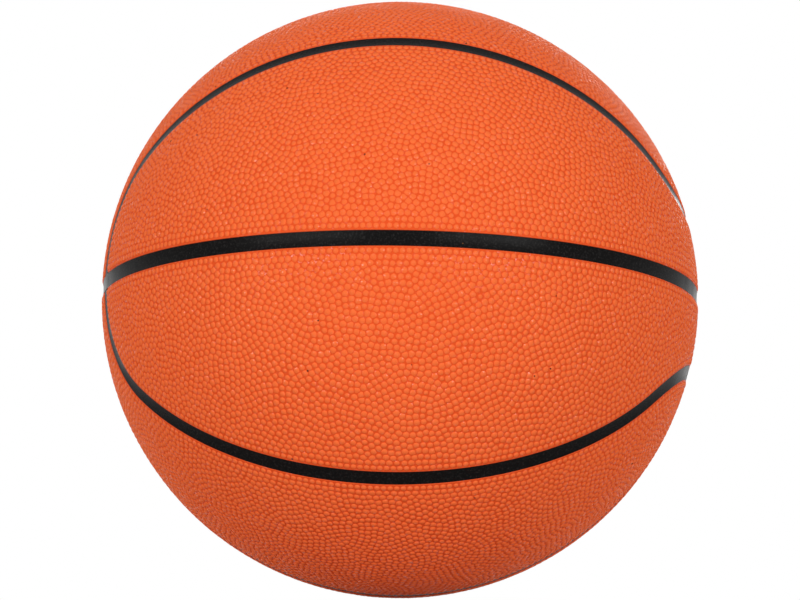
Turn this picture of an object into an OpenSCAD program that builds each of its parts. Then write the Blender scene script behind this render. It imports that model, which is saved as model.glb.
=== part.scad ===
// Indoor and outdoor basketball, built in layers: eight cover panels laid between black channel strips on a rubber
// carcass, a wound nylon layer, a two-ply bladder and a self-sealing needle valve.
//
// Frame: the origin is the middle of the ball, +Z is the axis of the flat equator channel, the crown channel lies in
// the plane of X and Z, and the two meet at +X and -X, the side poles. The front is -Y and the valve is at the back.
//
// Seam layout: besides those two circles there is one closed curve, the lobe seam. Each quarter of it runs along a
// plane that leans half way between the equator and the crown plane, and turns round each side pole on a circle.
// Near -X that circle is centred on the equator, so the front and back lobes close there, and near +X it is centred
// on the crown channel, so the top and bottom lobes close there. All eight panels have one shape and its mirror
// image.

/* [Ball] */
// Outside diameter over the cover
ball_d = 243; // [200:1:250]

/* [Cover] */
// Thickness of a cover panel
cover_t = 1.6; // [1.2:0.1:3]
// Width of the channel between two panels
channel_w = 6; // [4:0.1:9]
// Depth of the channel at its middle
channel_depth = 0.7; // [0.5:0.05:1.4]
// How much thicker a channel strip is along its edges than at its middle
strip_dish = 0.2; // [0.05:0.05:0.4]
// How far the rounded lip of a panel reaches in from the channel
lip_w = 1; // [0.6:0.1:3]
// How far the lip drops at the channel wall
lip_drop = 0.35; // [0.2:0.05:0.8]
// Radius of a panel's corners
corner_r = 3; // [1:0.5:6]

/* [Seam layout] */
// Angle from a side pole to the middle of the round end of a lobe
lobe_offset = 43.5; // [38:0.5:50]

/* [Layers] */
// Thickness of the rubber carcass
carcass_t = 0.7; // [0.4:0.1:2]
// Thickness of the wound nylon layer
winding_t = 0.35; // [0.2:0.05:1]
// Thickness of each of the two bladder plies
ply_t = 0.3; // [0.2:0.05:1]
// Cement between one layer and the next
cement_t = 0.05; // [0.02:0.01:0.2]

/* [Valve] */
// Height of the valve above the equator at the back, as an angle
valve_elevation = 18; // [12:1:30]
// Depth of the valve's face below the cover
valve_recess = 0.5; // [0.2:0.1:1]
// Diameter of the valve housing's stem
stem_d = 11; // [9:0.5:16]
// Length of the housing from its outer face to its inner end
stem_l = 15; // [12:0.5:24]
// Gap round the stem where it passes the cover and the layers
stem_gap = 0.15; // [0.05:0.05:0.5]
// Diameter of the housing's flange inside the bladder
flange_d = 26; // [20:1:40]
// Thickness of the flange
flange_t = 1.2; // [0.6:0.1:3]
// Diameter of the reinforcing patch between bladder and flange
patch_d = 40; // [30:1:60]
// Thickness of the patch
patch_t = 0.8; // [0.4:0.1:2]

/* [Valve plug] */
// Diameter of the plug's head
head_d = 8; // [7:0.1:8.6]
// Thickness of the head
head_t = 1.4; // [0.8:0.1:3]
// Diameter of the plug's shank
shank_d = 6; // [4.5:0.1:6.8]
// Diameter of the foot that holds the plug behind the housing
foot_d = 8; // [7:0.1:9]
// Length of the foot
foot_l = 2.5; // [1.5:0.1:5]
// Gap between the plug and the housing
plug_gap = 0.05; // [0.02:0.01:0.1]
// Bore that guides the inflating needle
needle_d = 2.2; // [1.6:0.1:3]
// Depth of the guide bore
needle_depth = 9; // [5:0.5:11]
// Diameter of the bore's funnel at the face of the plug
funnel_d = 3.4; // [3.2:0.1:4.2]

/* [Hidden] */
$fn = 120;

// How far a cut runs past what it cuts
overrun = 2;
// How far two sectors of one seam lap, as an angle, so that they fuse
sector_lap = 0.002;
// Steps that make up a rounded lip, and steps from the middle of a channel strip to its edge
lip_steps = 3;
dish_steps = 3;
// Where a corner's rounding is centred, as a share of its radius in from each wall
corner_seat_share = 0.95;

// Radii of the layers, from the outside in
ball_r = ball_d / 2;
cover_seat_r = ball_r - cover_t;
carcass_r = cover_seat_r - cement_t;
winding_r = carcass_r - carcass_t - cement_t;
outer_ply_r = winding_r - winding_t - cement_t;
inner_ply_r = outer_ply_r - ply_t - cement_t;
patch_r = inner_ply_r - ply_t - cement_t;
flange_r = patch_r - patch_t - cement_t;
valve_face_r = ball_r - valve_recess;

// Angles of the seam layout: a lobe end's radius, the place where it meets the leaning plane, seen from the middle
// of that stretch, how far the lobe end turns before the next channel, and the half width of a channel
lean = 45;
lobe_rho = asin(sin(lobe_offset) * sin(lean));
stretch = atan2(cos(lobe_offset), sin(lobe_offset) * sin(lean));
end_turn = acos(cos(lobe_offset) * cos(lean) / cos(lobe_rho));
half_w = asin(channel_w / 2 / ball_r);
// Room left on the hidden sides of a sector, where the straight channels trim it
trim_room = 4;

// A point at radius r and at an angle from the axis of revolution
function spot(r, angle) = [r * sin(angle), r * cos(angle)];
// The angle that a length spans on the ball's surface
function span(length) = length / ball_r * 180 / PI;
// Points down a rounded lip whose wall stands at angle wall, with the panel on the side that way points to
function lip_points(wall, way) = [
    for (i = [0:lip_steps])
        spot(
            ball_r - lip_drop * (1 - cos(90 * i / lip_steps)),
            wall + way * span(lip_w * (1 - sin(90 * i / lip_steps)))
        )
];

// Outline of what the lip takes off, in the half plane beside the axis
module lip_cut(wall, way) {
    lip = lip_points(wall, way);
    last = lip_steps;
    polygon([
        2 * lip[0] - lip[1], for (i = [1:last - 1]) lip[i], 2 * lip[last] - lip[last - 1],
        spot(ball_r + overrun, wall - way * span(overrun)),
        spot(ball_r + overrun, wall + way * span(2 * lip_w)),
    ]);
}

// Ring segment between two radii and two angles from the axis
module ring_outline(inner, outer, from, to) {
    intersection() {
        difference() {
            circle(r = outer);
            circle(r = inner);
        }
        polygon([[0, 0], for (i = [0:2]) spot(2 * outer, from + (to - from) * i / 2)]);
    }
}

// Cross section of a cover panel whose one channel wall is at angle wall, and which ends hidden at angle far
module panel_outline(wall, far) {
    way = sign(far - wall);
    difference() {
        ring_outline(cover_seat_r, ball_r, min(wall, far), max(wall, far));
        lip_cut(wall, way);
    }
}

// Cross section of a channel strip centred at angle middle: a flat foot, and an upper face dished like a shallow bow
module strip_outline(middle) {
    side = asin((channel_w / 2 - cement_t) / ball_r);
    floor_r = ball_r - channel_depth;
    polygon([
        spot(cover_seat_r, middle - side),
        for (i = [-dish_steps:dish_steps])
            spot(floor_r + strip_dish * (i * i) / (dish_steps * dish_steps), middle + side * i / dish_steps),
        spot(cover_seat_r, middle + side),
    ]);
}

// Turns the seam's own frame into the ball's: its Z is the pole of the leaning plane on the lobe's side, and its X
// points to the middle of the front upper stretch
module seam_frame() {
    rotate([lean + 90, 0, 0]) rotate([0, 0, 90]) children();
}

// The three stretches of one quarter of the lobe seam: the lobe end near -X, the leaning stretch and the lobe end
// near +X. Each is a sector of revolution about its own axis
module lobe_end_left(sweep) {
    rotate([0, 0, stretch]) rotate([0, 90 - lobe_rho, 0]) rotate_extrude(angle = sweep) children();
}
module leaning_stretch() {
    rotate([0, 0, -stretch - sector_lap]) rotate_extrude(angle = 2 * (stretch + sector_lap)) children();
}
module lobe_end_right(sweep) {
    rotate([0, 0, 180 - stretch]) rotate([0, -90 - lobe_rho, 0]) rotate_extrude(angle = sweep) children();
}

// Rounds a corner whose walls are the planes y = 0 and z = 0, with the panel towards +Y and +Z
module corner_cut() {
    seat = corner_seat_share * corner_r;
    translate([cover_seat_r - overrun, 0, 0])
    rotate([90, 0, 90])
    linear_extrude(cover_t + 2 * overrun)
    difference() {
        translate([-overrun, -overrun]) square(seat + overrun);
        translate([seat, seat]) circle(r = corner_r);
    }
}

// Trims one sector of a front upper panel along the straight channels, first at the corners and then along the lips
module trimmed_sector() {
    side = channel_w / 2;
    wide = 2 * (ball_r + overrun);
    waist = lobe_offset - lobe_rho;
    difference() {
        difference() {
            intersection() {
                seam_frame() children();
                translate([-wide / 2, -side - wide, side]) cube(wide);
            }
            translate([0, -side, side]) rotate([90, 0, 0]) corner_cut();
            rotate([0, 0, 180 + waist + half_w]) translate([0, 0, side]) corner_cut();
            rotate([0, half_w - waist, 0]) translate([0, -side, 0]) rotate([180, 0, 0]) corner_cut();
        }
        rotate_extrude() lip_cut(90 - half_w, -1);
        rotate([90, 0, 0]) rotate_extrude() lip_cut(90 - half_w, -1);
    }
}

// One cover panel, as it lies at the front above the equator
module cover_panel() {
    sweep = end_turn + trim_room;
    trimmed_sector() lobe_end_left(sweep) panel_outline(lobe_rho - half_w, 0);
    trimmed_sector() leaning_stretch() panel_outline(90 - half_w, lean - trim_room);
    trimmed_sector() lobe_end_right(sweep) panel_outline(lobe_rho + half_w, 2 * lobe_rho + trim_room);
}

// One quarter of the lobe seam's strip, as it lies at the front above the equator
module lobe_strip() {
    side = channel_w / 2;
    wide = 2 * (ball_r + overrun);
    intersection() {
        seam_frame() union() {
            lobe_end_left(end_turn + trim_room) strip_outline(lobe_rho);
            leaning_stretch() strip_outline(90);
            lobe_end_right(end_turn + trim_room) strip_outline(lobe_rho);
        }
        translate([-wide / 2, -side - wide, side]) cube(wide);
    }
}

// Places a front upper piece in the top lobe, by a half turn about the middle of the leaning stretch
module to_top_lobe() {
    rotate(a = 180, v = [0, -1, 1]) children();
}
module to_back() {
    mirror([0, 1, 0]) children();
}
module to_bottom() {
    mirror([0, 0, 1]) children();
}

// The valve's axis, as a local Z that points out of the ball
module at_valve() {
    rotate([valve_elevation - 90, 0, 0]) children();
}
module stem_hole() {
    at_valve() cylinder(d = stem_d + 2 * stem_gap, h = ball_r + overrun);
}

// A closed layer of the wall with the valve's hole
module layer(outer, thickness) {
    difference() {
        sphere(r = outer);
        sphere(r = outer - thickness);
        stem_hole();
    }
}
// A round cap of a layer about the valve's axis
module valve_cap(outer, thickness, across) {
    at_valve() intersection() {
        difference() {
            sphere(r = outer);
            sphere(r = outer - thickness);
        }
        cylinder(d = across, h = ball_r);
    }
}

module panel_front_upper() {
    color("coral") cover_panel();
}
module panel_front_lower() {
    color("coral") to_bottom() cover_panel();
}
module panel_back_upper() {
    color("coral") difference() {
        to_back() cover_panel();
        stem_hole();
    }
}
module panel_back_lower() {
    color("coral") to_bottom() to_back() cover_panel();
}
module panel_top_front() {
    color("coral") to_top_lobe() cover_panel();
}
module panel_top_back() {
    color("coral") to_back() to_top_lobe() cover_panel();
}
module panel_bottom_front() {
    color("coral") to_bottom() to_top_lobe() cover_panel();
}
module panel_bottom_back() {
    color("coral") to_bottom() to_back() to_top_lobe() cover_panel();
}

module equator_strip() {
    color("black") rotate_extrude() strip_outline(90);
}
// Half of the crown channel's strip, above the equator strip
module crown_strip() {
    wide = 2 * (ball_r + overrun);
    intersection() {
        rotate([90, 0, 0]) rotate_extrude() strip_outline(90);
        translate([-wide / 2, -wide / 2, channel_w / 2]) cube(wide);
    }
}
module crown_strip_top() {
    color("black") crown_strip();
}
module crown_strip_bottom() {
    color("black") to_bottom() crown_strip();
}
module lobe_strip_front_upper() {
    color("black") lobe_strip();
}
module lobe_strip_front_lower() {
    color("black") to_bottom() lobe_strip();
}
module lobe_strip_back_upper() {
    color("black") to_back() lobe_strip();
}
module lobe_strip_back_lower() {
    color("black") to_bottom() to_back() lobe_strip();
}

module carcass() {
    color("dimgray") layer(carcass_r, carcass_t);
}
module nylon_winding() {
    color("ivory") layer(winding_r, winding_t);
}
module bladder_outer_ply() {
    color("darkslategray") layer(outer_ply_r, ply_t);
}
module bladder_inner_ply() {
    color("gray") layer(inner_ply_r, ply_t);
}

module valve_patch() {
    color("dimgray") difference() {
        valve_cap(patch_r, patch_t, patch_d);
        stem_hole();
    }
}
// Housing: a stem with a flange, bored for the plug's shank and counterbored for its head
module valve_housing() {
    color("black") difference() {
        union() {
            at_valve() translate([0, 0, valve_face_r - stem_l]) cylinder(d = stem_d, h = stem_l);
            valve_cap(flange_r, flange_t, flange_d);
        }
        at_valve() cylinder(d = shank_d + 2 * plug_gap, h = ball_r);
        at_valve() translate([0, 0, valve_face_r - head_t - plug_gap])
            cylinder(d = head_d + 2 * plug_gap, h = ball_r);
    }
}
// Plug: head, shank and foot in one piece, with a funnel and a blind bore that guide the needle to the slit
module valve_plug() {
    foot_z = -stem_l - plug_gap;
    mouth = (funnel_d - needle_d) / 2;
    color("black") at_valve() translate([0, 0, valve_face_r]) difference() {
        union() {
            translate([0, 0, -head_t]) cylinder(d = head_d, h = head_t);
            translate([0, 0, foot_z]) cylinder(d = shank_d, h = -foot_z);
            translate([0, 0, foot_z - foot_l]) cylinder(d1 = shank_d, d2 = foot_d, h = foot_l);
        }
        translate([0, 0, -needle_depth]) cylinder(d = needle_d, h = needle_depth + overrun);
        translate([0, 0, -mouth]) cylinder(d1 = needle_d, d2 = 2 * funnel_d - needle_d, h = 2 * mouth);
    }
}

panel_front_upper();
panel_front_lower();
panel_back_upper();
panel_back_lower();
panel_top_front();
panel_top_back();
panel_bottom_front();
panel_bottom_back();
equator_strip();
crown_strip_top();
crown_strip_bottom();
lobe_strip_front_upper();
lobe_strip_front_lower();
lobe_strip_back_upper();
lobe_strip_back_lower();
carcass();
nylon_winding();
bladder_outer_ply();
bladder_inner_ply();
valve_patch();
valve_housing();
valve_plug();
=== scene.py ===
"""Looks of the basketball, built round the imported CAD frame.

The eight cover panels are made again with their pebbles, lips and walls as closed surfaces on the same seams
as the CAD panels. The channel strips, the layers under them and the valve stay as the CAD has them and get
their finishes here. Lengths are in metres and angles in radians unless a name says otherwise. The origin is
the middle of the ball, +Z is the axis of the equator channel and the front is -Y. A spot is a direction from
that middle.
"""

import logging
import math
from dataclasses import dataclass, field
from enum import Enum
from functools import cached_property, partial

import bpy
import numpy as np
from mathutils import Matrix, Vector
from mathutils.geometry import delaunay_2d_cdt


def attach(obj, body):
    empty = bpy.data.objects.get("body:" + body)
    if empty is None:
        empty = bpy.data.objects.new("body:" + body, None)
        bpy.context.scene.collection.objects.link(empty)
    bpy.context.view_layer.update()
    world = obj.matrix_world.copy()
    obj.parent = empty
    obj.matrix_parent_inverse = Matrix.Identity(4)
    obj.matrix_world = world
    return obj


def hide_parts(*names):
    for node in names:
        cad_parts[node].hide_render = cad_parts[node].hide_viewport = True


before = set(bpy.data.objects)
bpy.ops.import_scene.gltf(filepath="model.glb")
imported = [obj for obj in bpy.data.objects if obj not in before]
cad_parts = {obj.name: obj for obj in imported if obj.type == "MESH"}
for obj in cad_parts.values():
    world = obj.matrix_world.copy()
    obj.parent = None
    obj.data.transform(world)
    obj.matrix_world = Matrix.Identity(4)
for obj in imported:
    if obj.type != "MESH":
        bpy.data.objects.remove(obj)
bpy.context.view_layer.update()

LOG = logging.getLogger("basketball")
MM = 0.001
BALL_R = 121.5 * MM
Colour = tuple[float, float, float]
Place = tuple[float, float, float]
Span = tuple[float, float]
Socket = bpy.types.NodeSocket


class Skin(Enum):
    """The three surfaces that the eight panels are made from."""

    PLAIN = "turned into place for four panels"
    MIRRORED = "mirrored into place for three panels"
    WITH_VALVE = "mirrored into place for the panel with the valve's hole"


class Copy(Enum):
    """How one panel of the ball comes from the front upper one, as the rows of a matrix."""

    FRONT_UPPER = ((1, 0, 0), (0, 1, 0), (0, 0, 1))
    TOP_FRONT = ((-1, 0, 0), (0, 0, -1), (0, -1, 0))
    BACK_LOWER = ((1, 0, 0), (0, -1, 0), (0, 0, -1))
    BOTTOM_BACK = ((-1, 0, 0), (0, 0, 1), (0, 1, 0))
    FRONT_LOWER = ((1, 0, 0), (0, 1, 0), (0, 0, -1))
    BACK_UPPER = ((1, 0, 0), (0, -1, 0), (0, 0, 1))
    TOP_BACK = ((-1, 0, 0), (0, 0, 1), (0, -1, 0))
    BOTTOM_FRONT = ((-1, 0, 0), (0, 0, -1), (0, 1, 0))

    @property
    def matrix(self) -> np.ndarray:
        """The copy's matrix, whose determinant is -1 where it is a mirror image."""
        return np.array(self.value, float)

    @property
    def mirrored(self) -> bool:
        """Whether the copy is a mirror image."""
        return bool(np.linalg.det(self.matrix) < 0)

    @property
    def skin(self) -> Skin:
        """The surface that the copy is made from."""
        if self is Copy.BACK_UPPER:
            return Skin.WITH_VALVE
        return Skin.MIRRORED if self.mirrored else Skin.PLAIN


def unit(vectors: np.ndarray) -> np.ndarray:
    """Scale each row to length one.

    Args:
        vectors: Rows of three numbers.

    Returns:
        The rows, each divided by its length.
    """
    return vectors / np.linalg.norm(vectors, axis=-1, keepdims=True)


def tangents(spots: np.ndarray, near_pole: float = 0.9) -> tuple[np.ndarray, np.ndarray]:
    """Two unit tangents at each spot, so that the first, the second and the spot are right-handed.

    The first is the cross product of the Z axis and the spot, or of the X axis near the poles of Z.

    Args:
        spots: Directions from the ball's middle, one row each.
        near_pole: Height on a ball of radius one from which a spot counts as near a pole.

    Returns:
        The two sets of tangents.
    """
    helper = np.where(np.abs(spots[:, 2:]) < near_pole, [[0.0, 0.0, 1.0]], [[1.0, 0.0, 0.0]])
    along = unit(np.cross(helper, spots))
    return along, np.cross(spots, along)


def spread_evenly(loop: np.ndarray, count: int) -> np.ndarray:
    """Place spots at even steps along a closed loop.

    The loop's length is summed from spot to spot, and the new spots are interpolated at equal shares of it.

    Args:
        loop: Directions in order round the loop, one row each.
        count: How many spots are wanted.

    Returns:
        The new directions.
    """
    closed = np.vstack([loop, loop[:1]])
    run = np.concatenate([[0], np.cumsum(np.linalg.norm(np.diff(closed, axis=0), axis=1))])
    at = np.linspace(0, run[-1], count, endpoint=False)
    return unit(np.stack([np.interp(at, run, closed[:, i]) for i in range(3)], axis=1))


def even_spiral(ball_r: float, pitch: float) -> np.ndarray:
    """Spots spread evenly over the whole ball.

    Their number is the ball's area over that of one cell of a triangular grid of that pitch. The heights fall
    in equal steps and the turn grows by the golden angle, which gives every spot the same area.

    Args:
        ball_r: Radius of the ball.
        pitch: Distance between neighbours.

    Returns:
        Directions of the spots, one row each.
    """
    count = round(4 * math.pi * ball_r**2 / (math.sqrt(0.75) * pitch**2))
    height = 1 - (2 * np.arange(count) + 1) / count
    turn = np.arange(count) * math.pi * (3 - math.sqrt(5))
    flat = np.sqrt(1 - height**2)
    return np.stack([flat * np.cos(turn), flat * np.sin(turn), height], axis=1)


def count_on(loops: list[np.ndarray]) -> list[np.ndarray]:
    """Number the vertices of some loops anew, as they follow one another.

    Args:
        loops: Vertex numbers round each loop, or round each of many equal loops, one per row.

    Returns:
        The new numbers, counted on from 0, in the same layout.
    """
    starts = np.cumsum([0] + [loop.size for loop in loops])
    return [start + np.arange(loop.size).reshape(loop.shape) for start, loop in zip(starts, loops)]


def make_object(name: str, points: np.ndarray, faces: np.ndarray,
                rings: np.ndarray | None = None) -> bpy.types.Object:
    """Put one smooth surface into the scene.

    Args:
        name: The object's name.
        points: Vertex places, one row each.
        faces: Triangles, one row of three vertex numbers each.
        rings: For each vertex the number of the ring it lies on, or -1. A ring's edges are shaded as creases.

    Returns:
        The new object, with its place in its mesh.
    """
    mesh = bpy.data.meshes.new(name)
    mesh.vertices.add(len(points))
    mesh.vertices.foreach_set("co", points.astype(np.float32).ravel())
    mesh.loops.add(faces.size)
    mesh.loops.foreach_set("vertex_index", faces.astype(np.int32).ravel())
    mesh.polygons.add(len(faces))
    mesh.polygons.foreach_set("loop_start", np.arange(0, faces.size, 3, dtype=np.int32))
    mesh.polygons.foreach_set("loop_total", np.full(len(faces), 3, np.int32))
    mesh.polygons.foreach_set("use_smooth", np.ones(len(faces), bool))
    mesh.update(calc_edges=True)
    if rings is not None:
        ends = np.empty(2 * len(mesh.edges), np.int32)
        mesh.edges.foreach_get("vertices", ends)
        ring = rings[ends.reshape(-1, 2)]
        mesh.edges.foreach_set("use_edge_sharp", (ring[:, 0] >= 0) & (ring[:, 0] == ring[:, 1]))
    mesh.validate()
    piece = bpy.data.objects.new(name, mesh)
    bpy.context.scene.collection.objects.link(piece)
    return piece


@dataclass(frozen=True)
class SeamLayout:
    """The walls of the front upper panel, as distances over the ball's surface.

    The panel lies between the equator channel, the crown channel and the lobe seam. The seam is a great
    circle over its leaning stretch and a smaller circle round each side pole.
    """

    ball_r: float = BALL_R
    channel_w: float = 6 * MM
    # From a side pole to the middle of a lobe's end, and how far the leaning plane leans from the equator
    lobe_offset: float = math.radians(43.5)
    lean: float = math.radians(45)
    corner_r: float = 2.85 * MM
    # Step over which the depth's slope is measured, on a ball of radius one
    slope_step: float = 1e-5
    # Keeps a level slope from being divided by zero
    least_slope: float = 1e-30

    @cached_property
    def rho(self) -> float:
        """Angular radius of a lobe end."""
        return math.asin(math.sin(self.lobe_offset) * math.sin(self.lean))

    @cached_property
    def stretch(self) -> float:
        """Half the angle of the leaning stretch."""
        return math.atan2(math.cos(self.lobe_offset), math.sin(self.lobe_offset) * math.sin(self.lean))

    @cached_property
    def end_turn(self) -> float:
        """How far a lobe end turns from the leaning stretch to the next channel."""
        return math.acos(math.cos(self.lobe_offset) * math.cos(self.lean) / math.cos(self.rho))

    @cached_property
    def half_w(self) -> float:
        """Half the channel's width, as an angle."""
        return math.asin(self.channel_w / 2 / self.ball_r)

    @cached_property
    def seam_axes(self) -> np.ndarray:
        """Rows are the seam frame's axes in the ball's frame, the last one the pole of the leaning plane."""
        tip = math.sqrt(0.5)
        return np.array([[0, -tip, tip], [-1, 0, 0], [0, -tip, -tip]])

    def lobe_axis(self, side: int) -> np.ndarray:
        """Axis of a lobe end in the seam frame.

        Args:
            side: 1 for the end near -X, which the panel fills, and -1 for the end near +X, which it goes
                round.

        Returns:
            The axis as one row.
        """
        cos_r, sin_r = math.cos(self.rho), math.sin(self.rho)
        return np.array([cos_r * math.cos(self.stretch), side * cos_r * math.sin(self.stretch), side * sin_r])

    def walls(self, spots: np.ndarray) -> np.ndarray:
        """Distance from each spot to the panel's three walls, positive on the panel's side.

        An arcsine gives the angle from a great circle's plane, an arccosine the angle from a lobe end's
        axis, and both are taken times the ball's radius.

        Args:
            spots: Directions from the ball's middle, one row each.

        Returns:
            One row per spot: the distances to the equator wall, the crown wall and the seam wall.
        """
        local = spots @ self.seam_axes.T
        turn = np.arctan2(local[:, 1], local[:, 0])
        filled = self.rho - np.arccos(np.clip(local @ self.lobe_axis(1), -1, 1))
        gone_round = np.arccos(np.clip(local @ self.lobe_axis(-1), -1, 1)) - self.rho
        leaning = np.arcsin(np.clip(local[:, 2], -1, 1))
        seam = np.where(turn > self.stretch, filled, np.where(turn < -self.stretch, gone_round, leaning))
        equator = np.arcsin(np.clip(spots[:, 2], -1, 1))
        crown = np.arcsin(np.clip(-spots[:, 1], -1, 1))
        return self.ball_r * (np.stack([equator, crown, seam], axis=1) - self.half_w)

    def depth(self, spots: np.ndarray) -> np.ndarray:
        """Distance inwards from the panel's rounded outline, negative outside it.

        It is the least of the wall distances, and within a corner it is the corner's radius less the distance
        from the corner's middle.

        Args:
            spots: Directions from the ball's middle, one row each.

        Returns:
            One distance per spot.
        """
        walls = self.walls(spots)
        least = walls.min(axis=1)
        for one, other in ((0, 1), (0, 2), (1, 2)):
            near, far = walls[:, one], walls[:, other]
            short = np.hypot(np.maximum(self.corner_r - near, 0), np.maximum(self.corner_r - far, 0))
            corner = np.where(np.minimum(near, far) < self.corner_r, self.corner_r - short, np.inf)
            least = np.minimum(least, corner)
        return least

    def inward(self, spots: np.ndarray) -> np.ndarray:
        """Unit directions over the surface in which the depth grows fastest.

        The depth is compared a small step to both sides along two tangents.

        Args:
            spots: Directions from the ball's middle, one row each.

        Returns:
            One tangent row per spot.
        """
        along, across = tangents(spots)
        slopes = []
        for step in (self.slope_step * along, self.slope_step * across):
            slopes.append(self.depth(unit(spots + step)) - self.depth(unit(spots - step)))
        return unit(slopes[0][:, None] * along + slopes[1][:, None] * across + self.least_slope)

    def arc(self, side: int, polar: float, turns: np.ndarray) -> np.ndarray:
        """Spots on a circle about a lobe end's axis, from its meeting with the leaning stretch.

        A spot is the axis times the cosine of the polar angle, plus its sine times a radius that turns in the
        plane across the axis.

        Args:
            side: The lobe end, as in lobe_axis.
            polar: Angle from the axis.
            turns: Angles round the axis.

        Returns:
            Directions in the seam frame, one row each.
        """
        cos_r, sin_r = math.cos(self.rho), math.sin(self.rho)
        cos_s, sin_s = math.cos(self.stretch), math.sin(self.stretch)
        start = np.array([sin_r * cos_s, side * sin_r * sin_s, -side * cos_r])
        ahead = np.array([-sin_s, side * cos_s, 0])
        ring = np.cos(turns)[:, None] * start + np.sin(turns)[:, None] * ahead
        return math.cos(polar) * self.lobe_axis(side) + math.sin(polar) * ring


@dataclass(frozen=True)
class ValveHole:
    """The round hole for the valve, in the frame of the front upper panel."""

    radius: float = 5.65 * MM
    elevation: float = math.radians(18)
    ball_r: float = BALL_R

    @cached_property
    def axis(self) -> np.ndarray:
        """The hole's axis as one row."""
        return np.array([[0, -math.cos(self.elevation), math.sin(self.elevation)]])

    def depth(self, spots: np.ndarray) -> np.ndarray:
        """Distance from the hole's edge: the angle from its axis times the ball's radius, less the hole's.

        Args:
            spots: Directions from the ball's middle, one row each.

        Returns:
            One distance per spot.
        """
        return self.ball_r * np.arccos(np.clip(spots @ self.axis[0], -1, 1)) - self.radius

    def ring(self, away: float, count: int) -> np.ndarray:
        """Spots round the hole, clockwise from outside, with the panel on the left of the way they go.

        A spot is the axis times the cosine of its angle from it, plus the sine times a direction across it.

        Args:
            away: Distance from the hole's edge.
            count: How many spots are wanted.

        Returns:
            Directions, one row each.
        """
        along, across = tangents(self.axis)
        turns = -np.linspace(0, 2 * math.pi, count, endpoint=False)[:, None]
        level = np.cos(turns) * along + np.sin(turns) * across
        angle = (self.radius + away) / self.ball_r
        return math.cos(angle) * self.axis + math.sin(angle) * level


@dataclass
class Surface:
    """Vertices and triangles of one closed surface, collected part by part."""

    points: list[np.ndarray] = field(default_factory=list)
    faces: list[np.ndarray] = field(default_factory=list)
    count: int = 0

    def add_points(self, places: np.ndarray) -> np.ndarray:
        """Add vertices.

        Args:
            places: Their places, with the three coordinates on the last axis.

        Returns:
            Their numbers, in the same layout without that axis.
        """
        numbers = self.count + np.arange(places[..., 0].size).reshape(places.shape[:-1])
        self.points.append(places.reshape(-1, 3))
        self.count += numbers.size
        return numbers

    def add_band(self, low: np.ndarray, high: np.ndarray) -> None:
        """Add the triangles between closed rings that run counterclockwise, the low one outside.

        Args:
            low: Vertex numbers of the outer rings, with the way round on the last axis.
            high: Vertex numbers of the inner rings, or one number for each ring where they close in a point.
        """
        next_low = np.roll(low, -1, axis=-1)
        if high.shape != low.shape:
            tip = np.broadcast_to(high, low.shape)
            self.faces.append(np.stack([low, next_low, tip], axis=-1).reshape(-1, 3))
            return
        next_high = np.roll(high, -1, axis=-1)
        self.faces.append(np.stack([low, next_low, next_high], axis=-1).reshape(-1, 3))
        self.faces.append(np.stack([low, next_high, high], axis=-1).reshape(-1, 3))

    def directions(self, numbers: np.ndarray) -> np.ndarray:
        """Directions of some vertices from the ball's middle.

        Args:
            numbers: Their numbers.

        Returns:
            The directions, one row each.
        """
        return unit(np.vstack(self.points)[numbers])


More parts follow.
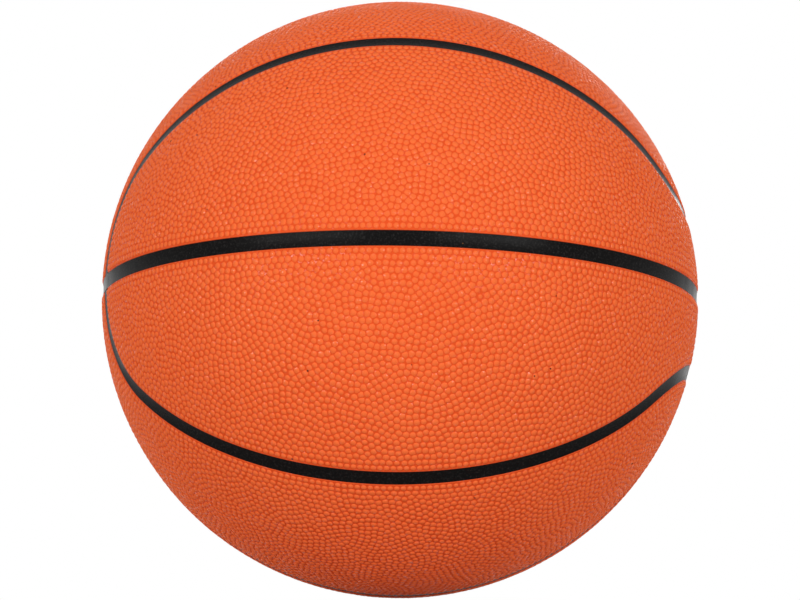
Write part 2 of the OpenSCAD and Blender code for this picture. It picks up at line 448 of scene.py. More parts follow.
@dataclass
class PebbleField:
    """The pebbles of one panel: where they stand and how far each one's foot goes."""

    layout: SeamLayout
    hole: ValveHole | None = None
    # Distance between neighbours, from an edge to the row that follows it, and along that row
    pitch: float = 2.66 * MM
    edge_row: float = 1.78 * MM
    edge_pitch: float = 2.52 * MM
    hole_row: float = 2.2 * MM
    # Usual radius, how much it varies, and the most and least that it may be
    radius: float = 1.33 * MM
    size_spread: float = 0.09
    most_share: float = 1.15
    least_radius: float = 0.8 * MM
    # Least gap between two feet, how many neighbours cut a foot short, and the least cosine in that cut
    least_gap: float = 0.1 * MM
    neighbours: int = 8
    least_cosine: float = 0.05
    # The lip along the edges, and how much of the room beside it a pebble fills
    lip_w: float = 0.52 * MM
    lip_fill_share: float = 0.95
    # Room that the loose pebbles start with and later keep from the edge rows, in pitches
    start_room_share: float = 0.72
    kept_room_share: float = 0.7
    # How far a loose pebble starts off its even place, and how the pebbles push each other apart
    jitter_share: float = 0.32
    rounds: int = 60
    push_share: float = 0.33
    reach_share: float = 1.3
    least_distance: float = 1e-9
    # Neighbours are looked for again every few rounds, somewhat beyond the reach
    search_rounds: int = 7
    search_share: float = 1.5
    # Pebbles within this many hole rows of the valve's hole are moved away from it and not from the outline
    hole_rows: float = 3

    def depth(self, spots: np.ndarray) -> np.ndarray:
        """Distance of each spot from the panel's edges, the valve's hole included."""
        depth = self.layout.depth(spots)
        return np.minimum(depth, self.hole.depth(spots)) if self.hole else depth

    def room(self, spots: np.ndarray) -> np.ndarray:
        """Distance of each spot past the edge rows."""
        room = self.layout.depth(spots) - self.edge_row
        return np.minimum(room, self.hole.depth(spots) - self.hole_row) if self.hole else room

    def edge_spots(self, outline: np.ndarray) -> np.ndarray:
        """The rows of pebbles that follow the panel's outline and the valve's hole.

        Args:
            outline: Dense directions along the panel's outline.

        Returns:
            Directions of the edge pebbles.
        """
        angle = self.edge_row / self.layout.ball_r
        row = unit(outline * math.cos(angle) + self.layout.inward(outline) * math.sin(angle))
        length = np.linalg.norm(np.diff(row, axis=0), axis=1).sum() * self.layout.ball_r
        rows = [spread_evenly(row, round(length / self.edge_pitch))]
        if self.hole:
            around = 2 * math.pi * (self.hole.radius + self.hole_row)
            rows.append(self.hole.ring(self.hole_row, round(around / self.edge_pitch)))
        return np.vstack(rows)

    def loose_spots(self, random: np.random.Generator) -> np.ndarray:
        """Spots inside the panel, from an even spiral over the ball, each moved a little at random.

        Args:
            random: The source of random numbers.

        Returns:
            Directions of the spots, one row each.
        """
        spots = even_spiral(self.layout.ball_r, self.pitch)
        spots = spots[self.room(spots) > self.start_room_share * self.pitch]
        jitter = self.jitter_share * self.pitch / self.layout.ball_r
        return unit(spots + random.normal(0, jitter, spots.shape))

    def settle(self, edge: np.ndarray, loose: np.ndarray) -> np.ndarray:
        """Push the loose spots apart until they stand nearly even, with the edge spots held.

        Each pair closer than the reach pushes apart by a share of what it lacks. Spots that come too near the
        outline or the hole are moved back from it.

        Args:
            edge: Directions of the held spots.
            loose: Directions of the spots that move.

        Returns:
            All directions, the held ones first.
        """
        reach = self.reach_share * self.pitch / self.layout.ball_r
        spots, held = np.vstack([edge, loose]), len(edge)
        first = second = np.zeros(0, int)
        for round_number in range(self.rounds):
            if round_number % self.search_rounds == 0:
                match = spots.astype(np.float32) @ spots.T.astype(np.float32)
                first, second = np.nonzero(np.triu(match > math.cos(self.search_share * reach), 1))
            gap = spots[first] - spots[second]
            distance = np.linalg.norm(gap, axis=1)
            lack = np.maximum(reach - distance, 0)
            step = gap * (lack / np.maximum(distance, self.least_distance) * self.push_share)[:, None]
            for axis in range(3):
                away = np.bincount(first, step[:, axis], len(spots))
                back = np.bincount(second, step[:, axis], len(spots))
                spots[held:, axis] += (away - back)[held:]
            spots = unit(spots)
            self.move_back(spots, held)
        return spots

    def move_back(self, spots: np.ndarray, held: int) -> None:
        """Move the loose spots that stand too near an edge row back by what they lack, in place.

        Args:
            spots: All directions, the held ones first.
            held: How many are held.
        """
        lack = np.minimum(self.room(spots[held:]) - self.kept_room_share * self.pitch, 0)
        late = np.flatnonzero(lack < 0) + held
        if not late.size:
            return
        back = self.layout.inward(spots[late])
        if self.hole:
            out = unit(spots[late] - self.hole.axis)
            by_hole = self.hole.depth(spots[late]) < self.hole_rows * self.hole_row
            back = np.where(by_hole[:, None], out, back)
        spots[late] = unit(spots[late] - back * lack[late - held][:, None] / self.layout.ball_r)

    def radii(self, spots: np.ndarray, random: np.random.Generator) -> np.ndarray:
        """Radius of each pebble: its own random size, limited by the lips.

        Args:
            spots: Directions of the pebbles.
            random: The source of random numbers.

        Returns:
            One radius per pebble.
        """
        beside_lip = (self.depth(spots) - self.lip_w - self.least_gap / 2) * self.lip_fill_share
        wanted = self.radius * (1 + self.size_spread * random.standard_normal(len(spots)))
        return np.clip(np.minimum(wanted, beside_lip), self.least_radius, self.most_share * self.radius)

    def reach(self, spots: np.ndarray, radii: np.ndarray, way: np.ndarray) -> np.ndarray:
        """How far each corner of each pebble's foot goes: its radius, cut short by the neighbours.

        The halfway line to a neighbour is met at half the distance to it, less half a gap, over the cosine
        of the angle between the corner's direction and the neighbour's.

        Args:
            spots: Directions of the pebbles.
            radii: Radius of each pebble.
            way: Level unit vector towards each corner, as pebbles by corners by three.

        Returns:
            One distance per corner, as pebbles by corners.
        """
        match = spots @ spots.T
        np.fill_diagonal(match, -1)
        near = np.argpartition(-match, self.neighbours, axis=1)[:, :self.neighbours]
        cosines = np.clip(np.take_along_axis(match, near, axis=1), -1, 1)
        apart = np.arccos(cosines) * self.layout.ball_r
        toward = spots[near] - spots[:, None]
        toward -= spots[:, None] * (toward * spots[:, None]).sum(axis=2, keepdims=True)
        toward /= np.linalg.norm(toward, axis=2, keepdims=True)
        facing = np.maximum(way @ toward.transpose(0, 2, 1), self.least_cosine)
        return np.minimum(radii[:, None], ((apart - self.least_gap)[:, None] / 2 / facing).min(axis=2))


@dataclass
class PanelSkin:
    """Closed surface of one cover panel: pebbles, valleys, lips, walls and inner face."""

    layout: SeamLayout
    seed: int
    hole: ValveHole | None = None
    # Distances below the ball's surface: the panel's inner face, the valleys and a usual pebble's top
    cover_t: float = 1.58 * MM
    valley_drop: float = 0.38 * MM
    top_drop: float = 0.02 * MM
    # How much a pebble's height varies, and the most that it may, downwards and upwards, in spreads
    height_spread: float = 0.08
    height_limits: Span = (-1.5, 1)
    # A shoulder lies at this share of the foot's reach, rounder by this share and this far below the top
    shoulder_share: float = 0.73
    round_share: float = 0.6
    shoulder_drop: float = 0.07 * MM
    # Corners of a foot, and how far a pebble may be turned about itself, a little over once round
    around: int = 10
    turn_range: float = 6.3
    # Vertices along the outline and round the valve's hole
    outline_count: int = 1100
    hole_count: int = 96
    # The lip's profile, from the wall's upper edge to the valley: distances inwards and below the surface
    lip_mm: tuple[Span, ...] = ((0.0, 0.56), (0.08, 0.44), (0.22, 0.36), (0.38, 0.35), (0.52, 0.42))
    # Spacing of the inner face's vertices, and the share of it that they keep from the edges
    inner_pitch: float = 6 * MM
    inner_room_share: float = 0.4
    # Spots along each piece of the outline, and how often they are moved onto it
    trace_count: int = 1500
    trace_rounds: int = 5
    # Where the flat picture of the panel is centred
    picture_middle: Place = (0.1, -1.0, 0.3)
    # Slack for rounding: on the outline and in the triangulation, at the valleys' edge, and at the edge of
    # the inner face
    slack: float = 1e-9
    valley_slack: float = 1e-6
    inner_slack: float = 1e-7

    @cached_property
    def grains(self) -> PebbleField:
        """The panel's pebbles."""
        return PebbleField(self.layout, self.hole)

    def outline(self) -> np.ndarray:
        """Dense directions along the panel's rounded outline, counterclockwise from outside.

        The five pieces run along the equator, up the crown channel, round the far lobe end, back along the
        leaning stretch and round the filled lobe end. Spots past another wall are dropped, and the rest are
        moved along the slope of the depth until it is zero.

        Returns:
            Directions, one row each.
        """
        seams, half = self.layout, self.layout.half_w
        cos_h, sin_h = math.cos(half), math.sin(half)
        way = np.linspace(0, 1, self.trace_count)
        beside = np.full(self.trace_count, sin_h)
        run = math.pi * way
        equator = np.stack([-np.cos(run) * cos_h, -np.sin(run) * cos_h, beside], axis=1)
        rise = (seams.lobe_offset - seams.rho) * way
        crown = np.stack([np.cos(rise) * cos_h, -beside, np.sin(rise) * cos_h], axis=1)
        turn = seams.stretch * (2 * way - 1)
        leaning = np.stack([np.cos(turn) * cos_h, np.sin(turn) * cos_h, beside], axis=1)
        right = seams.arc(-1, seams.rho + half, seams.end_turn * (1 - way))
        left = seams.arc(1, seams.rho - half, seams.end_turn * way)
        whole = np.vstack([equator, crown, np.vstack([right, leaning, left]) @ seams.seam_axes])
        whole = whole[seams.walls(whole).min(axis=1) > -self.slack]
        for _ in range(self.trace_rounds):
            step = -seams.depth(whole) / seams.ball_r
            whole = unit(whole + seams.inward(whole) * step[:, None])
        return whole

    def picture(self, spots: np.ndarray) -> np.ndarray:
        """Stereographic picture of the surface, seen from outside, which keeps circles round.

        Each spot's two tangent coordinates are taken times two over one plus the cosine of its angle from the
        picture's middle.

        Args:
            spots: Directions, one row each.

        Returns:
            Two plane coordinates per spot.
        """
        middle = unit(np.array([self.picture_middle]))
        along, across = tangents(middle)
        scale = 2 / (1 + spots @ middle[0])
        return np.stack([spots @ along[0] * scale, spots @ across[0] * scale], axis=1)

    def triangles(self, spots: np.ndarray, loops: list[np.ndarray], least_depth: float) -> np.ndarray:
        """Triangles over a set of spots, with the loops kept as edges and nothing outside the panel.

        Args:
            spots: Directions of the vertices.
            loops: Vertex numbers round each closed loop, or round each of many equal loops, one per row.
            least_depth: Depth of the outermost loops inside the panel's edge.

        Returns:
            Rows of three vertex numbers, counterclockwise from outside.

        Raises:
            ValueError: Two loops cross, so that the triangulation added vertices.
        """
        flat = self.picture(spots)
        edges = np.vstack([np.stack([loop, np.roll(loop, -1, -1)], axis=-1).reshape(-1, 2) for loop in loops])
        found = delaunay_2d_cdt([Vector(p) for p in flat], edges.tolist(), [], 0, self.slack, False)
        if len(found[0]) != len(spots):
            raise ValueError("two of the panel's loops cross")
        faces = np.array(found[2], int)
        a, b, c = flat[faces[:, 0]], flat[faces[:, 1]], flat[faces[:, 2]]
        turned = (b - a)[:, 0] * (c - a)[:, 1] - (b - a)[:, 1] * (c - a)[:, 0] < 0
        faces[turned] = faces[turned][:, ::-1]
        middle = unit(spots[faces].sum(axis=1))
        return faces[self.grains.depth(middle) > least_depth]

    def add_rims(self, surface: Surface, dense: np.ndarray) -> tuple[list[np.ndarray], list[np.ndarray]]:
        """Add the walls and lips, as loops from the inner face up the wall and over the lip to the valleys.

        Args:
            surface: What the loops are added to.
            dense: Dense directions along the outline.

        Returns:
            Two lists of loops of vertex numbers: those on the inner face and those in the valleys.
        """
        ball_r = self.layout.ball_r
        edge = spread_evenly(dense, self.outline_count)
        edge = unit(edge - self.layout.inward(edge) * self.layout.depth(edge)[:, None] / ball_r)
        inward = self.layout.inward(edge)

        def beside_channels(away: float) -> np.ndarray:
            """The outline's spots, moved inwards over the surface by a distance."""
            return edge * math.cos(away / ball_r) + inward * math.sin(away / ball_r)

        rims = [beside_channels]
        if self.hole:
            rims.append(partial(self.hole.ring, count=self.hole_count))
        profile_mm = [(0.0, self.cover_t / MM), *self.lip_mm]
        bottoms, tops = [], []
        for rim in rims:
            places = np.stack([rim(away * MM) * (ball_r - drop * MM) for away, drop in profile_mm])
            rows = surface.add_points(places)
            surface.add_band(rows[:-1], rows[1:])
            bottoms.append(rows[0])
            tops.append(rows[-1])
        return bottoms, tops

    def add_pebbles(self, surface: Surface, spots: np.ndarray, random: np.random.Generator) -> np.ndarray:
        """Add the pebbles, each a foot ring, a shoulder ring and a middle point, uneven in width and height.

        A corner stands at its distance from the pebble's middle, turned about it in even steps from a random
        start, and at the ball's radius less its drop.

        Args:
            surface: What the pebbles are added to.
            spots: Directions of the pebbles.
            random: The source of random numbers.

        Returns:
            Vertex numbers of the foot rings, one pebble per row.
        """
        ball_r, count = self.layout.ball_r, len(spots)
        heights = 1 + self.height_spread * random.standard_normal(count).clip(*self.height_limits)
        along, across = tangents(spots)
        start = random.uniform(0, self.turn_range, (count, 1))
        turn = np.linspace(0, 2 * math.pi, self.around, endpoint=False) + start
        way = np.cos(turn)[..., None] * along[:, None] + np.sin(turn)[..., None] * across[:, None]
        reach = self.grains.reach(spots, self.grains.radii(spots, random), way)

        def ring(away: np.ndarray, drop: np.ndarray) -> np.ndarray:
            """Places round every pebble, at distances from its middle and a drop below the ball's surface."""
            angle = (away / ball_r)[..., None]
            return (np.cos(angle) * spots[:, None] + np.sin(angle) * way) * (ball_r - drop)[:, None, None]

        top = self.valley_drop - (self.valley_drop - self.top_drop) * heights
        feet = surface.add_points(ring(reach, np.full(count, self.valley_drop)))
        rounder = reach + self.round_share * (reach.min(axis=1, keepdims=True) - reach)
        shoulders = surface.add_points(ring(self.shoulder_share * rounder, top + self.shoulder_drop))
        middles = surface.add_points(spots[:, None] * (ball_r - top)[:, None, None])
        surface.add_band(feet, shoulders)
        surface.add_band(shoulders, middles)
        return feet

    def add_valleys(self, surface: Surface, tops: list[np.ndarray], feet: np.ndarray) -> None:
        """Fill the valleys between the lips and the pebbles' feet with triangles.

        Args:
            surface: What the triangles are added to.
            tops: Loops at the inner ends of the lips.
            feet: Foot rings, one pebble per row.
        """
        used = np.concatenate([*tops, feet.ravel()])
        on_lips = [np.full(loop.size, -1) for loop in tops]
        owner = np.concatenate([*on_lips, np.repeat(np.arange(len(feet)), self.around)])
        lip_end = self.lip_mm[-1][0] * MM
        loops = count_on([*tops, feet])
        valley = self.triangles(surface.directions(used), loops, lip_end - self.valley_slack)
        own = owner[valley]
        under_pebble = (own[:, 0] >= 0) & (own[:, 0] == own[:, 1]) & (own[:, 1] == own[:, 2])
        surface.faces.append(used[valley[~under_pebble]])

    def add_inner_face(self, surface: Surface, bottoms: list[np.ndarray]) -> None:
        """Close the panel on its inner side with wide triangles, facing the ball's middle.

        Args:
            surface: What the face is added to.
            bottoms: Loops at the feet of the walls.
        """
        ball_r = self.layout.ball_r
        inner = even_spiral(ball_r, self.inner_pitch)
        inner = inner[self.grains.depth(inner) > self.inner_room_share * self.inner_pitch]
        used = np.concatenate([*bottoms, surface.add_points(inner * (ball_r - self.cover_t))])
        under = self.triangles(surface.directions(used), count_on(bottoms), -self.inner_slack)
        surface.faces.append(used[under][:, ::-1])

    def build(self) -> tuple[np.ndarray, np.ndarray, np.ndarray]:
        """Work out the panel's vertices and triangles.

        Returns:
            The vertices, the triangles, which face outwards, and the number of the foot ring that each vertex
            lies on, or -1.
        """
        random = np.random.default_rng(self.seed)
        surface, dense = Surface(), self.outline()
        spots = self.grains.settle(self.grains.edge_spots(dense), self.grains.loose_spots(random))
        bottoms, tops = self.add_rims(surface, dense)
        feet = self.add_pebbles(surface, spots, random)
        self.add_valleys(surface, tops, feet)
        self.add_inner_face(surface, bottoms)
        rings = np.full(surface.count, -1)
        rings[feet] = np.arange(len(spots))[:, None]
        return np.vstack(surface.points), np.vstack(surface.faces), rings


@dataclass
class NodeSheet:
    """A material under construction: it adds shader nodes and joins them."""

    name: str
    # The colour sockets of a Mix node, whose names its other sockets share
    mix_colours: tuple[int, int] = (6, 7)
    mix_result: int = 2
    # Where a speck's edge ends, in sizes of the speck
    speck_edge_share: float = 1.3
    material: bpy.types.Material = field(init=False)
    tree: bpy.types.NodeTree = field(init=False)
    shader: bpy.types.Node = field(init=False)

    def __post_init__(self) -> None:
        """Start the material with its Principled shader."""
        self.material = bpy.data.materials.new(self.name)
        self.material.use_nodes = True
        self.tree = self.material.node_tree
        self.shader = self.tree.nodes["Principled BSDF"]

    def node(self, kind: str, **settings: str) -> bpy.types.Node:
        """Add a node.

        Args:
            kind: Blender's name of the node type.
            settings: Properties of the node.

        Returns:
            The new node.
        """
        made = self.tree.nodes.new(kind)
        for key, value in settings.items():
            setattr(made, key, value)
        return made

    def join(self, source: Socket, target: Socket) -> None:
        """Link one socket to another."""
        self.tree.links.new(source, target)

    def place(self) -> Socket:
        """The Object coordinates."""
        return self.node("ShaderNodeTexCoord").outputs["Object"]

    def radius(self, place: Socket) -> Socket:
        """Distance from the ball's middle.

        Args:
            place: The Object coordinates.

        Returns:
            The distance.
        """
        length = self.node("ShaderNodeVectorMath", operation="LENGTH")
        self.join(place, length.inputs[0])
        return length.outputs["Value"]

    def noise(self, place: Socket, scale: float, detail: float = 2.0) -> Socket:
        """Noise from 0 to 1.

        Args:
            place: The Object coordinates.
            scale: Waves per metre.
            detail: Octaves.

        Returns:
            The noise.
        """
        made = self.node("ShaderNodeTexNoise")
        made.inputs["Scale"].default_value = scale
        made.inputs["Detail"].default_value = detail
        self.join(place, made.inputs["Vector"])
        return made.outputs["Fac"]

    def specks(self, place: Socket, scale: float, size: float) -> Socket:
        """Mask of tiny scattered specks, one round the point of each cell of a Voronoi pattern.

        Args:
            place: The Object coordinates.
            scale: Cells per metre.
            size: Radius of a speck, in cells.

        Returns:
            The mask, 1 on a speck.
        """
        made = self.node("ShaderNodeTexVoronoi")
        made.inputs["Scale"].default_value = scale
        self.join(place, made.inputs["Vector"])
        return self.ramp(made.outputs["Distance"], (size, self.speck_edge_share * size), (1.0, 0.0))

    def ramp(self, value: Socket, span: Span, out: Span = (0.0, 1.0)) -> Socket:
        """Map a value from one span to another, clamped.

        Args:
            value: The value.
            span: The span that it comes from.
            out: The span that it goes to.

        Returns:
            The mapped value.
        """
        made = self.node("ShaderNodeMapRange")
        for key, number in zip(("From Min", "From Max", "To Min", "To Max"), (*span, *out)):
            made.inputs[key].default_value = number
        self.join(value, made.inputs["Value"])
        return made.outputs["Result"]

    def blend(self, share: Socket, one: Colour | Socket, other: Colour | Socket) -> Socket:
        """Mix two colours.

        Args:
            share: How much of the other colour the mix holds.
            one: The first colour, as numbers or as a socket.
            other: The other colour, likewise.

        Returns:
            The mixed colour.
        """
        made = self.node("ShaderNodeMix", data_type="RGBA")
        self.join(share, made.inputs["Factor"])
        for colour, number in zip((one, other), self.mix_colours):
            if isinstance(colour, tuple):
                made.inputs[number].default_value = (*colour, 1.0)
            else:
                self.join(colour, made.inputs[number])
        return made.outputs[self.mix_result]

    def times(self, value: Socket, factor: float) -> Socket:
        """Take a value times a number.

        Args:
            value: The value.
            factor: The number.

        Returns:
            The product.
        """
        made = self.node("ShaderNodeMath", operation="MULTIPLY")
        self.join(value, made.inputs[0])
        made.inputs[1].default_value = factor
        return made.outputs["Value"]

    def bump(self, height: Socket, strength: float, distance: float) -> None:
        """Roughen the shader's normal.

        Args:
            height: Height from 0 to 1.
            strength: How strongly the bumps tell.
            distance: How high a bump is.
        """
        made = self.node("ShaderNodeBump")
        made.inputs["Strength"].default_value = strength
        made.inputs["Distance"].default_value = distance
        self.join(height, made.inputs["Height"])
        self.join(made.outputs["Normal"], self.shader.inputs["Normal"])


@dataclass(frozen=True)
class CoverFinish:
    """Moulded orange rubber: clear orange pebbles, valleys and low walls with painted shade in a darker,
    redder orange, small glossy spots and a fine skin.
    """

    top: Colour = (0.87, 0.149, 0.038)
    # Painted shade: the darker, redder colour given to the valleys and the pebbles' lower walls
    valley: Colour = (0.73, 0.084, 0.018)
    # Painted shade: from the valleys' darker colour to the tops', by the distance from the ball's middle
    rise: Span = (121.12 * MM, 121.24 * MM)
    # Slow changes of tone towards a paler orange
    worn: Colour = (0.89, 0.165, 0.045)
    worn_share: float = 0.5
    cloud_scale: float = 22.0
    cloud_detail: float = 3.0
    cloud_span: Span = (0.35, 0.7)
    # Dark specks in the rubber
    speck: Colour = (0.06, 0.02, 0.015)
    speck_scale: float = 90.0
    speck_size: float = 0.03
    # Matt rubber and its glossy spots
    gloss_scale: float = 900.0
    gloss_span: Span = (0.56, 0.65)
    roughness: Span = (0.42, 0.2)
    specular: Span = (0.008, 0.3)
    # The skin's fine grain
    skin_scale: float = 2600.0
    skin_detail: float = 1.0
    skin_strength: float = 0.12
    skin_depth: float = 0.06 * MM

    def make(self) -> bpy.types.Material:
        """Build the material.

        Returns:
            The finished material.
        """
        sheet = NodeSheet("orange_cover_rubber")
        place = sheet.place()
        rise = sheet.ramp(sheet.radius(place), self.rise)
        cloudy = sheet.ramp(sheet.noise(place, self.cloud_scale, self.cloud_detail), self.cloud_span)
        top = sheet.blend(sheet.times(cloudy, self.worn_share), self.top, self.worn)
        # Painted shade: the valleys and the lower walls of the pebbles take the darker valley colour
        clean = sheet.blend(rise, self.valley, top)
        specked = sheet.blend(sheet.specks(place, self.speck_scale, self.speck_size), clean, self.speck)
        sheet.join(specked, sheet.shader.inputs["Base Color"])
        shiny = sheet.ramp(sheet.noise(place, self.gloss_scale), self.gloss_span)
        sheet.join(sheet.ramp(shiny, (0.0, 1.0), self.roughness), sheet.shader.inputs["Roughness"])
        sheet.join(sheet.ramp(shiny, (0.0, 1.0), self.specular), sheet.shader.inputs["Specular IOR Level"])
        grain = sheet.noise(place, self.skin_scale, self.skin_detail)
        sheet.bump(grain, self.skin_strength, self.skin_depth)
        return sheet.material


@dataclass(frozen=True)
class ChannelFinish:
    """Satin black rubber of the channel strips, with fine pale dust and scattered flecks of orange."""

    base: Colour = (0.0055, 0.005, 0.005)
    # Pale dust
    dust: Colour = (0.028, 0.026, 0.025)
    dust_scale: float = 1500.0
    dust_span: Span = (0.52, 0.8)
    # Orange flecks rubbed off the cover
    fleck: Colour = (0.25, 0.1, 0.03)
    fleck_scale: float = 130.0
    fleck_size: float = 0.02
    # Sheen, a little uneven
    specular: float = 0.026
    roughness: Span = (0.2, 0.33)
    sheen_scale: float = 140.0
    sheen_detail: float = 3.0
    sheen_span: Span = (0.3, 0.7)
    # The surface's fine grain
    grain_scale: float = 900.0
    grain_strength: float = 0.15
    grain_depth: float = 0.08 * MM

    def make(self) -> bpy.types.Material:
        """Build the material.

        Returns:
            The finished material.
        """
        sheet = NodeSheet("black_channel_rubber")
        place = sheet.place()
        dusty = sheet.ramp(sheet.noise(place, self.dust_scale), self.dust_span)
        clean = sheet.blend(dusty, self.base, self.dust)
        flecked = sheet.blend(sheet.specks(place, self.fleck_scale, self.fleck_size), clean, self.fleck)
        sheet.join(flecked, sheet.shader.inputs["Base Color"])
        uneven = sheet.noise(place, self.sheen_scale, self.sheen_detail)
        sheet.join(sheet.ramp(uneven, self.sheen_span, self.roughness), sheet.shader.inputs["Roughness"])
        sheet.shader.inputs["Specular IOR Level"].default_value = self.specular
        sheet.bump(sheet.noise(place, self.grain_scale), self.grain_strength, self.grain_depth)
        return sheet.material


@dataclass(frozen=True)
class LayerFinish:
    """Plain rubber or cord of a layer that the cover hides, or of the valve."""

    name: str
    base: Colour
    shade: Colour
    roughness: float
    # Mottling in waves per metre, and the finer grain as a multiple of it
    mottle_scale: float
    mottle_detail: float = 3.0
    mottle_span: Span = (0.35, 0.65)
    grain_share: float = 8.0
    grain_strength: float = 0.2
    grain_depth: float = 0.1 * MM

    def make(self) -> bpy.types.Material:
        """Build the material.

        Returns:
            The finished material.
        """
        sheet = NodeSheet(self.name)
        place = sheet.place()
        mottle = sheet.ramp(sheet.noise(place, self.mottle_scale, self.mottle_detail), self.mottle_span)
        sheet.join(sheet.blend(mottle, self.base, self.shade), sheet.shader.inputs["Base Color"])
        sheet.shader.inputs["Roughness"].default_value = self.roughness
        grain = sheet.noise(place, self.grain_share * self.mottle_scale)
        sheet.bump(grain, self.grain_strength, self.grain_depth)
        return sheet.material


def give_finish(piece: bpy.types.Object, material: bpy.types.Material) -> None:
    """Give a piece one material.

    Args:
        piece: The object, new or from the CAD.
        material: Its finish.
    """
    if piece.material_slots:
        for slot in piece.material_slots:
            slot.material = material
    else:
        piece.data.materials.append(material)


@dataclass
class Cover:
    """The eight cover panels."""

    layout: SeamLayout = field(default_factory=SeamLayout)
    finish: CoverFinish = field(default_factory=CoverFinish)
    plain_seed: int = 7
    mirrored_seed: int = 19

    def build(self) -> None:
        """Build each panel from its skin and its matrix. A mirror image's triangles are turned round."""
        material = self.finish.make()
        skins = {
            Skin.PLAIN: PanelSkin(self.layout, self.plain_seed).build(),
            Skin.MIRRORED: PanelSkin(self.layout, self.mirrored_seed).build(),
            Skin.WITH_VALVE: PanelSkin(self.layout, self.mirrored_seed, ValveHole()).build(),
        }
        for copy in Copy:
            name = "panel_" + copy.name.lower()
            points, faces, rings = skins[copy.skin]
            faces = faces[:, ::-1] if copy.mirrored else faces
            piece = make_object("cover_" + name, points @ copy.matrix.T, faces, rings)
            give_finish(piece, material)
            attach(piece, "root")
            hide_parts(name)
            LOG.info("%s: %d triangles", piece.name, len(faces))


@dataclass
class Channels:
    """The black strips between the panels."""

    finish: ChannelFinish = field(default_factory=ChannelFinish)
    names: tuple[str, ...] = (
        "equator_strip", "crown_strip_top", "crown_strip_bottom", "lobe_strip_front_upper",
        "lobe_strip_front_lower", "lobe_strip_back_upper", "lobe_strip_back_lower",
    )

    def dress(self) -> None:
        """Finish the CAD strips."""
        material = self.finish.make()
        for name in self.names:
            give_finish(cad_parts[name], material)
            LOG.info("%s: finished", name)


@dataclass
class Core:
    """The layers that the cover hides, and the valve."""

    carcass: LayerFinish = LayerFinish(
        "carcass_rubber", (0.03, 0.028, 0.027), (0.06, 0.055, 0.05), roughness=0.7, mottle_scale=300.0)
    winding: LayerFinish = LayerFinish(
        "nylon_cord", (0.6, 0.56, 0.46), (0.45, 0.41, 0.33), roughness=0.6, mottle_scale=700.0)
    bladder: LayerFinish = LayerFinish(
        "bladder_rubber", (0.012, 0.012, 0.012), (0.03, 0.03, 0.03), roughness=0.5, mottle_scale=200.0)
    valve: LayerFinish = LayerFinish(
        "valve_rubber", (0.008, 0.008, 0.008), (0.02, 0.019, 0.018), roughness=0.42, mottle_scale=900.0)

    def dress(self) -> None:
        """Finish the CAD layers and the valve."""
        groups = (
            (self.carcass, ("carcass", "valve_patch")),
            (self.winding, ("nylon_winding",)),
            (self.bladder, ("bladder_outer_ply", "bladder_inner_ply")),
            (self.valve, ("valve_housing", "valve_plug")),
        )
        for finish, names in groups:
            material = finish.make()
            for name in names:
                give_finish(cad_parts[name], material)
                LOG.info("%s: finished", name)


@dataclass(frozen=True)
class SoftBox:
    """A rectangular lamp that faces the ball's middle."""

    name: str
    place: Place
    width: float
    height: float
    watts: float

    def hang(self) -> None:
        """Put the lamp into the scene."""
        data = bpy.data.lights.new(self.name, "AREA")
        data.shape = "RECTANGLE"
        data.size = self.width
        data.size_y = self.height
        data.energy = self.watts
        lamp = bpy.data.objects.new(self.name, data)
        bpy.context.scene.collection.objects.link(lamp)
        lamp.location = self.place
        lamp.rotation_euler = Vector(self.place).to_track_quat("Z", "Y").to_euler()


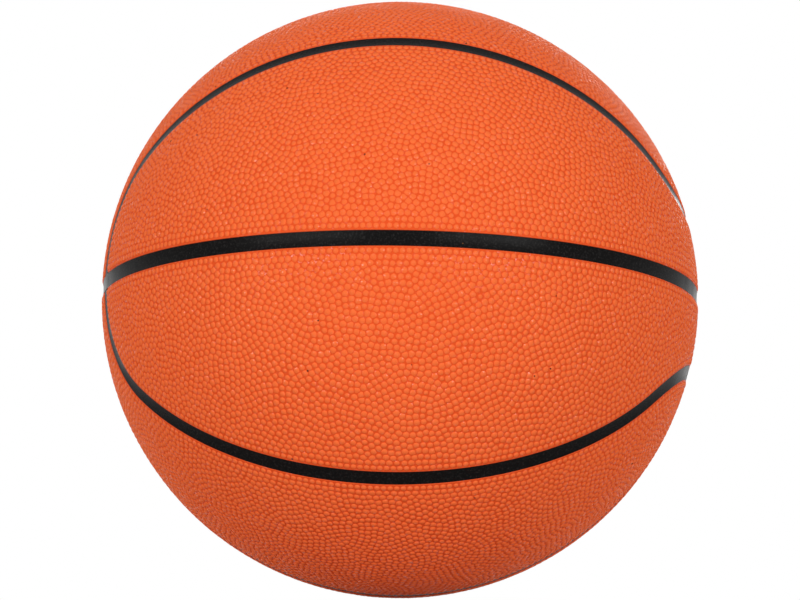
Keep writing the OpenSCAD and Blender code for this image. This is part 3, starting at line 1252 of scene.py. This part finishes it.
@dataclass
class Studio:
    """Camera, lamps, floor and background."""

    ball_r: float = BALL_R
    # The camera's distance in radii of the ball, and how the ball stands to it
    distance_in_radii: float = 11.11
    tilt: float = math.radians(-11.05)
    roll: float = math.radians(-0.86)
    yaw: float = math.radians(-1.43)
    # The ball's outline in the image, and the image's and the sensor's width
    outline_px: float = 298.4
    image_w_px: float = 800
    sensor_w_mm: float = 36
    clip_end: float = 200.0
    # Strength of the even light, and the pale floor: its width, its finish and how clear it is from above
    world_light: float = 0.31
    floor_size: float = 60.0
    floor_colour: Colour = (0.9, 0.9, 0.9)
    floor_roughness: float = 0.9
    floor_clear: float = 0.5
    lamps: tuple[SoftBox, ...] = (
        SoftBox("key_box_left", (-2.3, -3.26, 0.4), 2.7, 0.9, 79.0),
        SoftBox("key_box_right", (2.3, -3.26, 0.4), 2.7, 0.9, 79.0),
        SoftBox("back_box", (0.15, 1.85, 0.85), 1.2, 0.6, 9.0),
    )

    def camera(self) -> None:
        """Place the camera as the photograph's seams and outline give it.

        The ball's axes are written in camera terms: a tilt about the level axis, a turn of the ball about
        its own axis and a roll about the line of sight. The focal length is the outline's radius in pixels
        times the root of the squared distance less one.
        """
        level, up = np.array([1.0, 0, 0]), np.array([0, math.cos(self.tilt), math.sin(self.tilt)])
        front = np.array([0, -math.sin(self.tilt), math.cos(self.tilt)])
        right = math.cos(self.yaw) * level - math.sin(self.yaw) * front
        front = math.cos(self.yaw) * front + math.sin(self.yaw) * level
        cos_roll, sin_roll = math.cos(self.roll), math.sin(self.roll)
        spin = np.array([[cos_roll, -sin_roll, 0], [sin_roll, cos_roll, 0], [0, 0, 1]])
        ball_axes = np.stack([spin @ right, spin @ -front, spin @ up])
        distance = self.distance_in_radii * self.ball_r
        data = bpy.data.cameras.new("camera")
        focal_px = self.outline_px * math.sqrt(self.distance_in_radii**2 - 1)
        data.sensor_width = self.sensor_w_mm
        data.lens = focal_px / self.image_w_px * self.sensor_w_mm
        data.clip_end = self.clip_end
        camera = bpy.data.objects.new("camera", data)
        bpy.context.scene.collection.objects.link(camera)
        place = Matrix(ball_axes.tolist()).to_4x4()
        place.translation = Vector(ball_axes[:, 2] * distance)
        camera.matrix_world = place
        bpy.context.scene.camera = camera

    def world(self) -> None:
        """White background for the camera, mirrors and glass, and an even grey light for the rest."""
        world = bpy.data.worlds.new("studio")
        bpy.context.scene.world = world
        world.use_nodes = True
        tree = world.node_tree
        background = tree.nodes["Background"]
        background.inputs["Color"].default_value = (1, 1, 1, 1)
        path = tree.nodes.new("ShaderNodeLightPath")
        seen = path.outputs["Is Camera Ray"]
        for kind in ("Is Glossy Ray", "Is Transmission Ray"):
            either = tree.nodes.new("ShaderNodeMath")
            either.operation = "MAXIMUM"
            tree.links.new(seen, either.inputs[0])
            tree.links.new(path.outputs[kind], either.inputs[1])
            seen = either.outputs[0]
        level = tree.nodes.new("ShaderNodeMapRange")
        level.inputs["To Min"].default_value = self.world_light
        level.inputs["To Max"].default_value = 1.0
        tree.links.new(seen, level.inputs["Value"])
        tree.links.new(level.outputs["Result"], background.inputs["Strength"])

    def floor(self) -> None:
        """Lay the pale floor under the ball, half clear from above and clear from its underside.

        The camera looks up from below the floor's plane and sees through that clear underside.
        """
        half, low = self.floor_size / 2, -self.ball_r
        points = np.array([[-half, -half, low], [half, -half, low], [half, half, low], [-half, half, low]])
        piece = make_object("floor", points, np.array([[0, 1, 2], [0, 2, 3]]))
        sheet = NodeSheet("pale_floor")
        sheet.shader.inputs["Base Color"].default_value = (*self.floor_colour, 1.0)
        sheet.shader.inputs["Roughness"].default_value = self.floor_roughness
        clear = sheet.node("ShaderNodeBsdfTransparent")
        under = sheet.node("ShaderNodeNewGeometry").outputs["Backfacing"]
        mix = sheet.node("ShaderNodeMixShader")
        sheet.join(sheet.ramp(under, (0.0, 1.0), (self.floor_clear, 1.0)), mix.inputs["Fac"])
        sheet.join(sheet.shader.outputs["BSDF"], mix.inputs[1])
        sheet.join(clear.outputs["BSDF"], mix.inputs[2])
        sheet.join(mix.outputs["Shader"], sheet.tree.nodes["Material Output"].inputs["Surface"])
        give_finish(piece, sheet.material)

    def build(self) -> None:
        """Build the whole studio."""
        bpy.context.scene.view_settings.view_transform = "Standard"
        self.camera()
        self.world()
        self.floor()
        for lamp in self.lamps:
            lamp.hang()


def main() -> None:
    """Build the ball and its studio."""
    logging.basicConfig(level=logging.INFO, format="%(name)s: %(message)s")
    Studio().build()
    Cover().build()
    Channels().dress()
    Core().dress()


if __name__ == "__main__":
    main()
